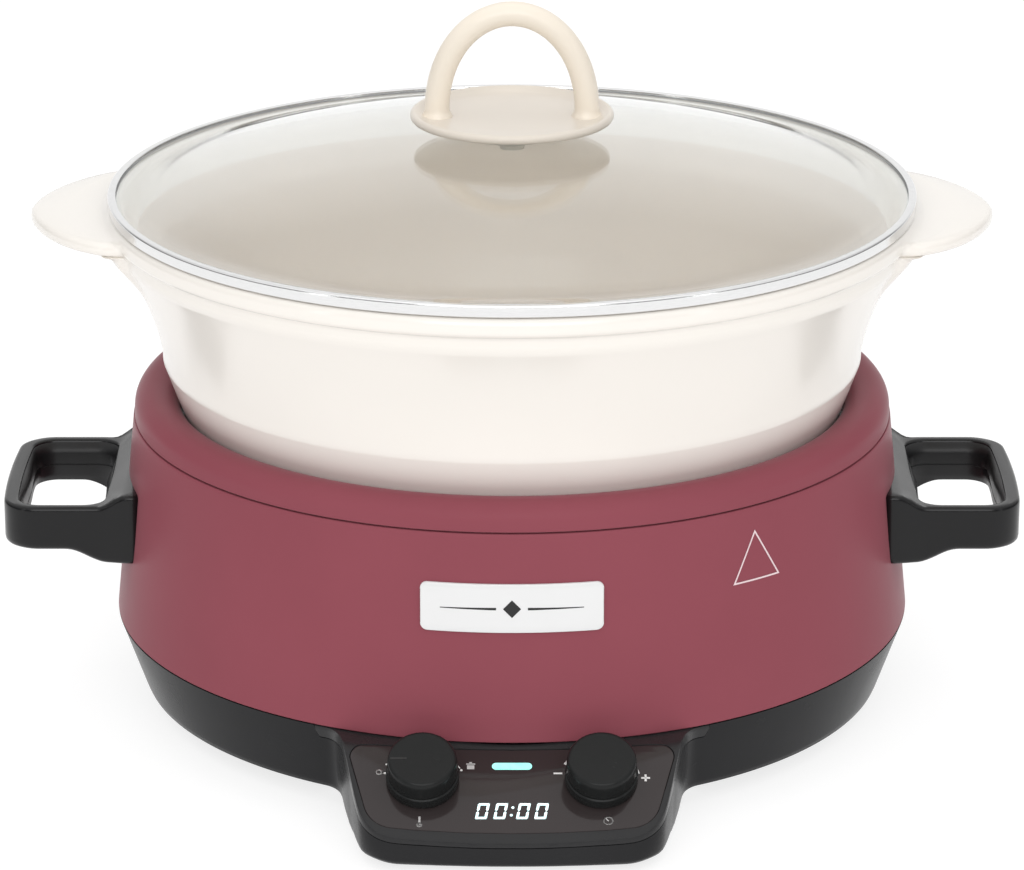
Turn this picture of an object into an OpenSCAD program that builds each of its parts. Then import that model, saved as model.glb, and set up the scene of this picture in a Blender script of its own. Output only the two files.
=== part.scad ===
// Countertop slow cooker: round heating base with a sloping control console,
// a lift-out glazed pot with two ears and a glass lid with an arch handle.
// Millimetres, +Z up. The row origin is the centre of the bounding box's bottom face.

/* [Base] */
// Radius of the painted wall at its widest, where it meets the black shell
wall_low_r = 151.1; // [149:0.1:153]
// Radius of the painted wall at its top seam
wall_top_r = 143.3; // [142.8:0.1:144.2]
// Height of the lower edge of the painted wall above the table
wall_low_z = 35.8; // [34:0.1:38]
// Height of the seam between the wall and the top ring
wall_top_z = 111.8; // [111:0.1:112.4]
// Height of the feet below the black shell
foot_h = 6.2; // [5:0.1:7]
// Radius of the circle on which the feet stand
foot_ring_r = 112; // [105:1:118]

/* [Console] */
// Distance from the bowl axis to the front of the console
console_reach = 188; // [186:0.5:192]
// Slope of the control panel from horizontal, in degrees
panel_tilt = 30; // [28:1:32]
// Distance of each knob from the middle of the panel
knob_x = 31.5; // [30:0.5:33]
// Radius of a knob at its skirt
knob_r = 12.9; // [12:0.1:13.4]
// Height of a knob above the panel
knob_h = 12.8; // [11:0.1:15]

/* [Pot] */
// Height of the pot's rim above the table
pot_rim_z = 193.3; // [193.1:0.1:193.4]
// Outer radius of the pot's lip
pot_lip_r = 152; // [151.5:0.1:153]
// Height of the pot's underside above the table
pot_base_z = 64; // [63.9:0.1:64.4]
// Thickness of the pot's wall
pot_wall = 4.6; // [4:0.1:5.2]
// Inner radius where the sloping seat under the lid ends
pot_seat_r = 141; // [139:0.5:142]
// Inner radius where the wall turns down below the seat
pot_step_r = 135; // [133:0.5:136]
// Distance from the bowl axis to the tip of each ear
ear_reach = 180; // [174:1:184]

/* [Lid] */
// Outer radius of the steel rim
lid_r = 150.9; // [150:0.1:151.4]
// Height of the rim's top above the table
lid_top_z = 198; // [197.8:0.1:199]
// Rise of the glass dome above the rim
dome_rise = 20; // [17:0.5:22]
// Radius of the plate under the arch handle
plate_r = 38; // [34:0.5:40]
// Outer half width of the arch
arch_half_w = 32.5; // [30:0.5:34]
// Height of the arch above its plate
arch_rise = 41.5; // [38:0.5:44]
// Radius of the arch's round section
arch_tube_r = 4.7; // [4.5:0.1:5.5]

/* [Side handles] */
// Distance from the bowl axis to the end of each handle
handle_reach = 192; // [186:1:198]
// Half of the handle's width from front to back
handle_half_w = 41.5; // [39:0.5:44]
// Top of the grip above the table
grip_top_z = 84.8; // [83:0.1:87]
// Bottom of the grip above the table
grip_low_z = 67.9; // [66:0.1:70]

/* [Hidden] */
$fn = 96;

e = 0.01;
axis_y = (console_reach - pot_lip_r) / 2;
shell_low_z = foot_h;
shell_wall = 2.4;
plate_t = 2.4;
floor_z = shell_low_z + plate_t;
tray_z = 2.6;
cover_r = 133;
cover_screw_r = 128.5;
cover_screw_angles = [0:60:300];
board_z = 17;
board_posts = [[-42, 26], [42, 26], [-42, 78], [42, 78]];
sheet = 1.6;

plate_mid_z = 85.2;
mark_azimuth = 36.9;
mark_z = 94.2;

// console frame: a point on the panel is x across and t down the slope
panel_y = -152;
panel_z = 33.9;
panel_t = 1.6;
bezel_part_tilt = 24;
bezel_part_z = 11;
knob_t = 13.5;
lens_t = 7.5;
digit_t = 27.1;
digit_h = 7.4;
digit_w = 4.1;
print_t = 0.15;
shaft_r = 3;
deck_t = 1.2;
flange_z = wall_top_z - 1.5;
shaft_fit = 0.05;
board_gap = 10.5;

// lid
glass_t = 3.8;
flange_r = 138.5;
glass_r = 149.6;
glass_top_z = lid_top_z - 0.5;
apex_z = lid_top_z + dome_rise;
washer_z = apex_z - glass_t - 0.9;
dome_r = (flange_r * flange_r + pow(apex_z - glass_top_z, 2)) / (2 * (apex_z - glass_top_z));
plate_top_z = apex_z + 9.2;
arch_mid = arch_half_w - arch_tube_r;
leg_seat_z = plate_top_z - 2;

// pot
heel_z = 134;
heel_r = 131.6;
taper_z = 109;
taper_r = 122.4;
flare_z = 181;
flare_r = 149;
floor_r = 104;

function earc(c, a, b, a0, a1, n) =
  [for (i = [0:n]) let (t = a0 + (a1 - a0) * i / n) c + [a * cos(t), b * sin(t)]];
function arc(c, r, a0, a1, n) = earc(c, r, r, a0, a1, n);
function flip(p) = [for (i = [len(p) - 1:-1:0]) [-p[i].x, p[i].y]];
function wall_r(z) = wall_low_r + (wall_top_r - wall_low_r) * (z - wall_low_z) / (wall_top_z - wall_low_z);
function pot_out(z) = heel_r + (flare_r - heel_r) * pow(max(0, (z - heel_z) / (flare_z - heel_z)), 1.65);

// ---------- shared shapes ----------
module place() {
  translate([0, axis_y, 0]) children();
}
module lathe(points) {
  rotate_extrude() polygon(points);
}
// puts its children on the panel: +Z is the panel's normal, +Y runs up the slope
module on_panel(x, t) {
  translate([x, panel_y - t * cos(panel_tilt), panel_z - t * sin(panel_tilt)])
    rotate([panel_tilt, 0, 0]) children();
}
// half space under a plane that slopes down to the front through [y, z]
module under_plane(y, z, tilt) {
  translate([0, y, z]) rotate([tilt, 0, 0]) translate([-200, -200, -200]) cube([400, 400, 200]);
}
// plan outline of the console: grown sideways by side, its front set back from the reach
function console_outline(side, back) =
  let (front = console_reach - back, corner = [42.7 + side, 15.7 - front])
  let (half = concat(
    [[66 + side, -100], [60.2 + side, -148]],
    arc(corner, 12.5, 8, -78, 8),
    [[30, 1.6 - front]]))
  concat(half, [[0, -front]], flip(half));
module console_block(side, back, z0, z1) {
  translate([0, 0, z0]) linear_extrude(z1 - z0) polygon(console_outline(side, back));
}

// ---------- heating base ----------
module shell_outer() {
  lathe(concat([[0, shell_low_z]], [[wall_low_r - 12.6, shell_low_z]],
    arc([wall_low_r - 12.1, shell_low_z + 4], 4, -80, -20, 4), [[wall_low_r, wall_low_z], [0, wall_low_z]]));
}
module shell_inner(z0) {
  lathe([[0, z0], [wall_low_r - 16, z0], [wall_low_r - 11.6, shell_low_z + 6],
    [wall_low_r - shell_wall - 0.4, wall_low_z + e], [0, wall_low_z + e]]);
}
module bezel_region() {
  difference() {
    translate([-70.2, -250, 0]) cube([140.4, 200, wall_low_z - 0.2]);
    under_plane(-console_reach, bezel_part_z, bezel_part_tilt);
    for (s = [-1, 1]) translate([s * 73 - 10, -250, 0]) cube([20, 200, 29.5]);
  }
}
module bottom_shell() {
  color("#2b2b2d")
  difference() {
    union() {
      difference() {
        shell_outer();
        shell_inner(floor_z + plate_t);
      }
      difference() {
        console_block(0, 1.2, tray_z, 34);
        translate([0, 0, floor_z]) cylinder(r = wall_low_r - 13, h = 40);
        translate([0, 0, tray_z - 1]) cylinder(r = cover_r + 2.4, h = 10);
      }
      for (a = cover_screw_angles) rotate(a) translate([cover_screw_r, 0, floor_z]) cylinder(r = 4, h = 9);
    }
    translate([0, 0, shell_low_z - 5]) cylinder(r = cover_r + 0.2, h = floor_z - shell_low_z + 5);
    translate([0, 0, shell_low_z - 5]) cylinder(r = cover_r - 10, h = 20);
    for (a = cover_screw_angles) rotate(a)
      translate([cover_screw_r, 0, floor_z - 1]) cylinder(r = 1.7, h = 9);
    difference() {
      console_block(-2.4, 3.6, tray_z + 2.4, 60);
      translate([0, 0, -1]) cylinder(r = cover_r + 4.8, h = floor_z + plate_t + 1);
      translate([0, 0, -1]) cylinder(r = cover_r - 8, h = 60);
    }
    bezel_region();
    translate([-16, wall_low_r - 20, 14]) cube([32, 30, 19]);
  }
}
module base_cover() {
  color("#232325")
  difference() {
    union() {
      translate([0, 0, shell_low_z]) cylinder(r = cover_r, h = plate_t);
      for (p = board_posts) translate([p.x, p.y, shell_low_z]) cylinder(r = 4, h = board_z - shell_low_z);
    }
    for (a = cover_screw_angles) rotate(a)
      translate([cover_screw_r, 0, shell_low_z - 1]) cylinder(r = 1.7, h = 5);
    for (p = board_posts) translate([p.x, p.y, board_z - 6]) cylinder(r = 1.4, h = 7);
    for (y = [-74, 34]) for (x = [-36:12:36]) translate([x - 2, y, shell_low_z - 1]) cube([4, 40, 6]);
  }
}
module rubber_feet() {
  color("#1a1a1a")
  for (a = [45:90:315]) rotate(a) translate([foot_ring_r, 0, 0]) {
    cylinder(r1 = 8.2, r2 = 9, h = foot_h);
  }
}
module base_screws() {
  color("#b8b8b8")
  for (a = cover_screw_angles) rotate(a) translate([cover_screw_r, 0, 0]) {
    translate([0, 0, shell_low_z - 1.8]) cylinder(r = 3, h = 1.8);
    translate([0, 0, shell_low_z]) cylinder(r = 1.7, h = 10);
  }
}
module wall_shell() {
  color("#965961")
  difference() {
    lathe([[wall_low_r, wall_low_z], [wall_top_r, wall_top_z],
      [wall_top_r - sheet, wall_top_z], [wall_low_r - sheet, wall_low_z]]);
    handle_screw_holes();
  }
}
module top_ring() {
  ring_z = wall_top_z + 3.5;
  ring_r = wall_top_r - 7.8;
  color("#965961")
  lathe(concat(
    [[wall_top_r - 0.5, wall_top_z], [wall_top_r - 0.5, wall_top_z + 0.3], [wall_top_r, wall_top_z + 0.3]],
    arc([ring_r, ring_z], 7.3, 0, 90, 10),
    earc([ring_r, ring_z], 9.8, 7.3, 100, 180, 9),
    [[ring_r - 9.8, flange_z], [ring_r - 7.6, flange_z]],
    earc([ring_r, ring_z], 7.4, 4.9, 180, 90, 9),
    arc([ring_r, ring_z], 4.9, 80, 0, 8),
    [[wall_top_r - 2.9, wall_top_z - 5], [wall_top_r - sheet - 0.1, wall_top_z - 5],
    [wall_top_r - sheet - 0.1, wall_top_z]]));
}
module heating_well() {
  color("#b9bbbd")
  lathe([[129, flange_z], [129, flange_z - sheet], [126, flange_z - sheet], [117.4, 70], [111, 60], [94, 60],
    [94, 61.6], [110.2, 61.6], [115.9, 70.5], [124.4, flange_z - sheet], [124.4, flange_z]]);
}
module heating_plate() {
  color("#8e9092")
  difference() {
    union() {
      translate([0, 0, 56.8]) cylinder(r = 100, h = 3.2);
      translate([0, 0, 56.8]) cylinder(r = 93.6, h = 6.9);
    }
    for (a = [30:120:270]) rotate(a) translate([86, 0, 56]) cylinder(r = 2, h = 5);
    translate([0, 0, 56]) cylinder(r = 5, h = 4);
  }
}
module heating_element() {
  color("#5a5552")
  translate([0, 0, 53.4]) rotate([0, 0, 105]) rotate_extrude(angle = 330)
    translate([66, 0]) circle(r = 3.4, $fn = 32);
}
module heat_shield() {
  color("#c3c6c8")
  difference() {
    lathe([[0, 40], [118, 40], [130, 52], [134.5, 104], [133.5, 104], [129, 52.6], [117.5, 41], [0, 41]]);
    for (a = [30:120:270]) rotate(a) translate([86, 0, 38]) cylinder(r = 2, h = 5);
    for (a = [0:30:330]) rotate(a + 15) translate([40, 0, 38]) cylinder(r = 3, h = 5);
  }
}
module temperature_sensor() {
  color("#d8d8d0")
  translate([0, 0, 47]) {
    cylinder(r = 4.9, h = 13);
    cylinder(r = 8, h = 3);
  }
}
module thermal_fuse() {
  color("#cfcfcf")
  translate([34, -14, 50]) {
    cube([9, 28, 6.8]);
  }
}
module plate_screws() {
  color("#b8b8b8")
  for (a = [30:120:270]) rotate(a) translate([86, 0, 0]) {
    translate([0, 0, 37.6]) cylinder(r = 4, h = 2.4);
    translate([0, 0, 40]) cylinder(r = 2, h = 21);
    translate([0, 0, 41]) cylinder(r = 4, h = 15.8);
  }
}
module power_board() {
  color("#2f6b45")
  difference() {
    translate([-48, 20, board_z]) cube([96, 64, 1.6]);
    for (p = board_posts) translate([p.x, p.y, board_z - 1]) cylinder(r = 1.4, h = 4);
  }
}
module board_screws() {
  color("#b8b8b8")
  for (p = board_posts) translate([p.x, p.y, 0]) {
    translate([0, 0, board_z - 6]) cylinder(r = 1.4, h = 7.6);
    translate([0, 0, board_z + 1.6]) cylinder(r = 2.8, h = 1.8);
  }
}
module power_relay() {
  color("#2e4f8a") translate([-38, 28, board_z + 1.6]) cube([19, 15.5, 15.8]);
}
module power_transformer() {
  color("#c9a23c") translate([4, 30, board_z + 1.6]) {
    cube([24, 22, 5]);
    translate([3, 3, 5]) cube([18, 16, 12]);
  }
}
module terminal_block() {
  color("#e9e9e4")
  translate([-14, 66, board_z + 1.6]) difference() {
    cube([28, 12, 10]);
    for (i = [0:2]) translate([2 + i * 8.5, -1, 3]) cube([7, 9, 5]);
  }
}
module power_inlet() {
  color("#1d1d1f")
  difference() {
    translate([-16, wall_low_r - 26, 14]) cube([32, 17.4, 19]);
    translate([-12, wall_low_r - 22, 16]) cube([24, 20, 15]);
  }
}
module inlet_pins() {
  color("#c9c9c9")
  for (p = [[-7, 22], [7, 22], [0, 26]]) translate([p.x - 1, wall_low_r - 22, p.y - 2]) cube([2, 8, 4]);
}

// ---------- control console ----------
module console_bezel() {
  color("#2b2b2d")
  difference() {
    union() {
      intersection() {
        console_block(2.4, 0, 4, wall_low_z - 0.2);
        under_plane(panel_y, panel_z, panel_tilt);
        bezel_region();
      }
      intersection() {
        shell_outer();
        bezel_region();
      }
    }
    difference() {
      intersection() {
        console_block(-0.4, 3.6, 0, 60);
        under_plane(panel_y, panel_z - (panel_t + deck_t) / cos(panel_tilt), panel_tilt);
      }
      translate([0, 0, -1]) cylinder(r = wall_low_r - shell_wall, h = 60);
    }
    shell_inner(floor_z + plate_t);
    panel_block(0.1);
    for (s = [-1, 1]) on_panel(s * knob_x, knob_t) translate([0, 0, -6]) cylinder(r = 4, h = 12);
    on_panel(0, digit_t) translate([-16, -5.5, -6]) cube([32, 11, 12]);
    on_panel(0, lens_t) translate([-7.6, -2, -6]) cube([15.2, 4, 12]);
  }
}
// plan outline of the glossy insert
function panel_outline(g) =
  let (half = concat(
    arc([52.9, panel_y - 2.5], 4.5 + g, 95, -8, 6),
    arc([44.8, panel_y - 22.8], 6.2 + g, -12, -78, 6)))
  concat(half, [[0, panel_y - 31.8 - g]], flip(half), [[0, panel_y + g]]);
module panel_block(g) {
  intersection() {
    linear_extrude(60) polygon(panel_outline(g));
    on_panel(0, 0) translate([-80, -60, -panel_t]) cube([160, 100, panel_t + (g > 0 ? 2 : 0)]);
  }
}
module control_panel() {
  color("#38383a")
  difference() {
    panel_block(0);
    for (s = [-1, 1]) on_panel(s * knob_x, knob_t) translate([0, 0, -3]) cylinder(r = shaft_r + 0.6, h = 6);
    on_panel(0, lens_t) translate([-7.1, -1.55, -3]) cube([14.2, 3.1, 6]);
  }
}
module dot(x, t, r) {
  on_panel(x, t) cylinder(r = r, h = print_t, $fn = 24);
}
module bar(x, t, w, h, a = 0) {
  on_panel(x, t) rotate(a) translate([-w / 2, -h / 2, 0]) cube([w, h, print_t]);
}
module ring_mark(x, t, r, w) {
  on_panel(x, t) difference() {
    cylinder(r = r, h = print_t, $fn = 32);
    translate([0, 0, -1]) cylinder(r = r - w, h = 2, $fn = 32);
  }
}
// wedge that grows round the timer knob from thin to thick
module wedge_mark(x, t, r, a0, a1, w0, w1, n) {
  outer = [for (i = [0:n]) let (a = a0 + (a1 - a0) * i / n) (r + w0 + (w1 - w0) * i / n) * [cos(a), sin(a)]];
  on_panel(x, t) linear_extrude(print_t) polygon(concat(outer, arc([0, 0], r, a1, a0, n)));
}
module panel_marks() {
  color("#f2f2f2") {
    // mode knob: an off ring, a row of dots round the knob and a small pot
    ring_mark(-knob_x - 15.6, knob_t - 3.4, 1.1, 0.45);
    for (a = [20:28:160]) dot(-knob_x - 15 * cos(a), knob_t - 14.6 * sin(a) + 1, 0.4);
    bar(-knob_x + 16.2, knob_t - 5.4, 2.6, 1.8);
    bar(-knob_x + 16.2, knob_t - 7, 3.2, 0.5);
    // timer knob: less, more and the wedge between them
    bar(knob_x - 15.6, knob_t - 2.9, 3.2, 0.7);
    bar(knob_x + 15.6, knob_t - 1, 3.2, 0.7);
    bar(knob_x + 15.6, knob_t - 2.2, 0.7, 0.85);
    bar(knob_x + 15.6, knob_t + 0.2, 0.7, 0.85);
    wedge_mark(knob_x, knob_t, 13.4, 20, 160, 0.4, 1.8, 16);
    // thermometer under the mode knob, clock face under the timer knob
    ring_mark(-knob_x - 0.9, knob_t + 19.4, 1.1, 0.4);
    bar(-knob_x - 0.9, knob_t + 17.1, 0.5, 2.2);
    ring_mark(knob_x + 1.5, knob_t + 17.7, 1.9, 0.4);
    bar(knob_x + 1.1, knob_t + 17.5, 0.4, 1.3, 45);
  }
}
module status_lens() {
  color("#d2ffff")
  on_panel(0, lens_t) translate([-7.1, -1.55, -4]) cube([14.2, 3.1, 4.1]);
}
// a seven-segment figure with its middle bar dark, leaning slightly forwards
module zero_digit(x) {
  b = 0.8;
  on_panel(x, digit_t) {
    for (s = [-1, 1]) {
      translate([s * 0.6 - digit_w / 2 + b, s * (digit_h - b) / 2 - b / 2, 0])
        cube([digit_w - 2 * b, b, print_t]);
      for (u = [-1, 1]) {
        x0 = s * (digit_w - b) / 2 - b / 2 + u * 0.2;
        x1 = x0 + u * 0.45;
        y1 = u * (digit_h / 2 - b);
        linear_extrude(print_t) polygon([[x0, u * 0.3], [x0 + b, u * 0.3], [x1 + b, y1], [x1, y1]]);
      }
    }
  }
}
module display_digits() {
  color("#e9ffff") {
    for (x = [-10.6, -4.2, 4.2, 10.6]) zero_digit(x);
    for (s = [-1, 1]) dot(s * 0.15, digit_t - s * 1.6, 0.45);
  }
}
module display_module() {
  color("#202224")
  on_panel(0, digit_t) translate([-15.5, -5, -board_gap]) cube([31, 10, board_gap - panel_t]);
}
module control_board() {
  color("#2f6b45")
  on_panel(0, 18) translate([-46, -11.5, -board_gap - 1.6]) cube([92, 23, 1.6]);
}
module rotary_part(x) {
  on_panel(x, knob_t) {
    translate([-6, -6, -board_gap]) cube([12, 12, board_gap - panel_t - deck_t]);
    translate([0, 0, -panel_t - 2]) cylinder(r = shaft_r, h = panel_t + 11);
  }
}
module mode_switch() {
  color("#7c7f82") rotary_part(-knob_x);
}
module timer_encoder() {
  color("#7c7f82") rotary_part(knob_x);
}
module knob_cap() {
  difference() {
    lathe([[0, 0.4], [knob_r - 0.3, 0.4], [knob_r, 0.8], [knob_r, 2.2], [knob_r - 0.7, 3.2],
      [knob_r - 0.5, 3.6], [knob_r - 0.6, knob_h - 1.8], [knob_r - 0.9, knob_h - 1],
      [knob_r - 1.6, knob_h - 0.35], [knob_r - 2.6, knob_h], [0, knob_h]]);
    translate([0, 0, -1]) cylinder(r = 5.4, h = knob_h - 1.2);
    translate([0, 0, -1]) difference() {
      cylinder(r = knob_r - 2.2, h = 5);
      translate([0, 0, -1]) cylinder(r = 7, h = 8);
    }
  }
}
module knob_insert() {
  difference() {
    translate([0, 0, 0.5]) cylinder(r = 5.4, h = knob_h - 2.7);
    translate([0, 0, -1]) cylinder(r = shaft_r + shaft_fit, h = knob_h - 1.6);
  }
}
module mode_knob() {
  color("#333335") on_panel(-knob_x, knob_t) difference() {
    knob_cap();
    translate([-knob_r + 2.2, -0.45, knob_h - 0.5]) cube([5.8, 0.9, 1]);
  }
}
module mode_knob_insert() {
  color("#8a8d90") on_panel(-knob_x, knob_t) knob_insert();
}
module timer_knob() {
  color("#333335") on_panel(knob_x, knob_t) knob_cap();
}
module timer_knob_insert() {
  color("#8a8d90") on_panel(knob_x, knob_t) knob_insert();
}

// ---------- side handles ----------
module rounded_box(x0, x1, hw, r, z0, z1) {
  // x0 is the end with round corners, x1 the end with small ones
  translate([0, 0, z0]) linear_extrude(z1 - z0) polygon(concat(
    arc([x0 - r, hw - r], r, 0, 90, 8), [[x1, hw], [x1, -hw]], arc([x0 - r, -hw + r], r, -90, 0, 8)));
}
module handle_window(x0, x1, hw, r) {
  translate([0, 0, 40]) linear_extrude(80) polygon(concat(
    arc([x0 - r, hw - r], r, 0, 90, 8), arc([x1 + r, hw - r], r, 90, 180, 8),
    arc([x1 + r, -hw + r], r, 180, 270, 8), arc([x0 - r, -hw + r], r, -90, 0, 8)));
}
module wall_solid() {
  translate([0, 0, wall_low_z]) cylinder(r1 = wall_low_r, r2 = wall_top_r, h = wall_top_z - wall_low_z);
}
module handle_grip() {
  difference() {
    union() {
      difference() {
        rounded_box(handle_reach, 120, handle_half_w, 11, grip_low_z, grip_top_z);
        handle_window(handle_reach - 3.2, 140, handle_half_w - 3, 9);
      }
      // saddle that hugs the wall, with a foot below and a ramp above
      intersection() {
        rounded_box(153, 120, handle_half_w, 2, 62.6, 90);
        rotate([90, 0, 0]) translate([0, 0, -60]) linear_extrude(120) polygon([
          [120, 62.6], [151, 62.6], [155, 66], [155, grip_top_z - 1],
          [152.6, grip_top_z], [146, 90], [120, 90]]);
      }
    }
    wall_solid();
    handle_screw_holes();
  }
}
module handle_liner() {
  difference() {
    intersection() {
      handle_window(handle_reach - 3.2, 140, handle_half_w - 3, 9);
      translate([152.99, -60, grip_low_z + 0.6]) cube([60, 120, grip_top_z - grip_low_z - 1.6]);
    }
    handle_window(handle_reach - 8, 146, handle_half_w - 5, 8);
  }
}
// two screws a side, driven outwards through the wall into the saddle
module handle_screw_holes() {
  for (m = [0, 1]) mirror([m, 0, 0])
    for (y = [-24, 24]) translate([136, y, 76]) rotate([0, 90, 0]) cylinder(r = 2, h = 13.4);
}
module handle_screws() {
  color("#b8b8b8")
  for (m = [0, 1]) mirror([m, 0, 0]) for (y = [-24, 24]) translate([0, y, 76]) rotate([0, 90, 0]) {
    translate([0, 0, 138]) cylinder(r = 2, h = 11.4);
    translate([0, 0, 136]) cylinder(r = 4, h = 6);
  }
}
module handle_left() {
  color("#2b2b2d") mirror([1, 0, 0]) handle_grip();
}
module handle_right() {
  color("#2b2b2d") handle_grip();
}
module handle_left_liner() {
  color("#242426") mirror([1, 0, 0]) handle_liner();
}
module handle_right_liner() {
  color("#242426") handle_liner();
}

// ---------- trim on the wall ----------
// a sheet of the given thickness that lies on the wall between two heights
module wall_skin(z0, z1, t) {
  lathe([[wall_r(z0), z0], [wall_r(z0) + t, z0], [wall_r(z1) + t, z1], [wall_r(z1), z1]]);
}
module name_plate() {
  w = 32.6;
  color("#f4f4f4") difference() {
    intersection() {
      wall_skin(76.4, 94, 1);
      translate([0, -100, plate_mid_z]) rotate([90, 0, 0]) linear_extrude(80) polygon(concat(
        arc([w - 3, 8.8 - 3], 3, 0, 90, 6), arc([-w + 3, 8.8 - 3], 3, 90, 180, 6),
        arc([-w + 3, -8.8 + 3], 3, 180, 270, 6), arc([w - 3, -8.8 + 3], 3, 270, 360, 6)));
    }
    ornament();
  }
}
// plain ornament: a diamond between two rules
module ornament() {
  translate([0, -100, plate_mid_z]) rotate([90, 0, 0]) linear_extrude(80) {
    polygon([[-3.2, 0], [0, 3.2], [3.2, 0], [0, -3.2]]);
    for (s = [-1, 1]) translate([s * 15.4, 0]) square([20, 0.9], center = true);
  }
}
// the ornament is let into the plate and stands a little proud of it
module plate_motif() {
  color("#1c1c1c") intersection() {
    wall_skin(78, 92, 1.15);
    ornament();
  }
}
// plain triangle outline on the wall
module side_mark() {
  side = 21.4;
  tri_h = side * sin(60);
  color("#f1e4e6") intersection() {
    wall_skin(80, 108, 0.15);
    rotate(mark_azimuth) translate([0, -100, mark_z]) rotate([90, 0, 0]) linear_extrude(80) difference() {
      polygon([[-side / 2, -tri_h / 2], [side / 2, -tri_h / 2], [0, tri_h / 2]]);
      polygon([[-side / 2 + 1.1, -tri_h / 2 + 0.65], [side / 2 - 1.1, -tri_h / 2 + 0.65],
        [0, tri_h / 2 - 1.3]]);
    }
  }
}

// ---------- pot ----------
function pot_points() = concat(
  [[0, pot_base_z]],
  arc([floor_r, pot_base_z + 9], 9, -90, -20, 6),
  [[taper_r, taper_z]],
  [for (i = [0:12]) let (z = heel_z + (flare_z - heel_z) * i / 12) [pot_out(z), z]],
  arc([pot_lip_r - 4, pot_rim_z - 5.4], 4, -60, 0, 4),
  arc([pot_lip_r - 2, pot_rim_z - 2], 2, 0, 90, 4),
  arc([pot_lip_r - 5, pot_rim_z - 2], 2, 90, 170, 4),
  [[pot_seat_r, pot_rim_z - 10.8], [pot_step_r, pot_rim_z - 20.8], [heel_r - pot_wall, heel_z]],
  [[taper_r - pot_wall, taper_z]],
  arc([floor_r - 4.5, pot_base_z + 16], 11, -15, -90, 6),
  [[0, pot_base_z + 5]]);
// plan outline of one ear: a broad lobe that leaves the rim in a hollow curve
function ear_points() =
  let (half = concat(
    arc([159.5, 84], 34.2, -152, -112, 6),
    [for (a = [72:-8:0]) [136 + (ear_reach - 136) * cos(a), 54 * pow(sin(a), 1.2)]]))
  concat(half, [for (i = [len(half) - 2:-1:0]) [half[i].x, -half[i].y]]);
module ears() {
  for (m = [0, 1]) mirror([m, 0, 0])
    translate([0, 0, pot_rim_z - 8]) linear_extrude(5.2) polygon(ear_points());
}
module pot() {
  color("#f4efe8") {
    lathe(pot_points());
    difference() {
      ears();
      translate([0, 0, pot_rim_z - 12]) cylinder(r = pot_lip_r - 5, h = 20);
    }
  }
}

// ---------- lid ----------
function dome_z(r) = apex_z - dome_r + sqrt(dome_r * dome_r - r * r);
function dome(z_off, n) = [for (i = [0:n]) let (r = flange_r * i / n) [r, dome_z(r) + z_off]];
module lid_glass() {
  color("#dfe6e6", 0.35)
  difference() {
    lathe(concat(dome(0, 16), [[glass_r, glass_top_z]], [[glass_r, glass_top_z - glass_t + 0.4]],
      [for (p = [for (i = [16:-1:0]) dome(-glass_t, 16)[i]]) p + [0, 0.4]]));
    translate([0, 0, apex_z - 20]) cylinder(r = 4, h = 40);
  }
}
module lid_rim() {
  color("#d9d9d9")
  lathe([[lid_r - 2.9, lid_top_z - 0.4], [lid_r - 2.5, lid_top_z], [lid_r - 0.6, lid_top_z],
    [lid_r - 0.1, lid_top_z - 0.5], [lid_r, pot_rim_z + 0.6], [lid_r - 0.3, pot_rim_z + 0.25],
    [lid_r - 3.4, pot_rim_z + 0.25], [lid_r - 3.4, pot_rim_z + 0.75], [glass_r, pot_rim_z + 0.75],
    [glass_r, glass_top_z], [lid_r - 2.9, glass_top_z]]);
}
module lid_seal() {
  color("#d8d2c8")
  difference() {
    translate([0, 0, apex_z - 0.1]) cylinder(r = 11, h = 1.3);
    translate([0, 0, apex_z - 5]) cylinder(r = 4, h = 10);
    lathe(concat([[0, 0]], [[flange_r, 0]], [for (i = [16:-1:0]) dome(0, 16)[i]]));
  }
}
module lid_washer() {
  color("#bfc2c4")
  translate([0, 0, washer_z]) difference() {
    cylinder(r = 9, h = 1.2);
    translate([0, 0, -1]) cylinder(r = 2.5, h = 4);
  }
}
module lid_screw() {
  color("#c4c7c9") {
    translate([0, 0, washer_z - 2.6]) cylinder(r = 4.6, h = 2.6);
    translate([0, 0, washer_z]) cylinder(r = 2.5, h = 9.5);
  }
}
module knob_plate() {
  color("#e7dfd3")
  difference() {
    lathe(concat(
      [[0, apex_z + 1.2], [15, apex_z + 1.2], [17, apex_z + 2.4], [plate_r - 6, plate_top_z - 4.2]],
      arc([plate_r - 1.7, plate_top_z - 1.7], 1.7, -50, 90, 8),
      [[plate_r - 2.6, plate_top_z - 0.4], [plate_r - 4.4, leg_seat_z], [0, leg_seat_z]]));
    translate([0, 0, apex_z]) cylinder(r = 2.5, h = 4.9);
    for (s = [-1, 1]) translate([s * (arch_half_w - arch_tube_r), 0, apex_z]) cylinder(r = 1.5, h = 20);
  }
}
// round arch on two straight legs that stand in the plate's dish
module arch_handle() {
  leg_h = arch_rise - arch_tube_r - arch_mid;
  color("#eee5d8")
  difference() {
    union() {
      translate([0, 0, plate_top_z + leg_h]) rotate([90, 0, 0])
        rotate_extrude(angle = 180) translate([arch_mid, 0]) circle(r = arch_tube_r);
      for (s = [-1, 1]) translate([s * arch_mid, 0, leg_seat_z]) cylinder(r = arch_tube_r, h = leg_h + 2);
    }
    for (s = [-1, 1]) translate([s * arch_mid, 0, apex_z]) cylinder(r = 1.5, h = 16);
  }
}
module arch_screws() {
  color("#b8b8b8")
  for (s = [-1, 1]) translate([s * arch_mid, 0, 0]) {
    translate([0, 0, apex_z + 4.6]) cylinder(r = 1.5, h = 11);
  }
}

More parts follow.
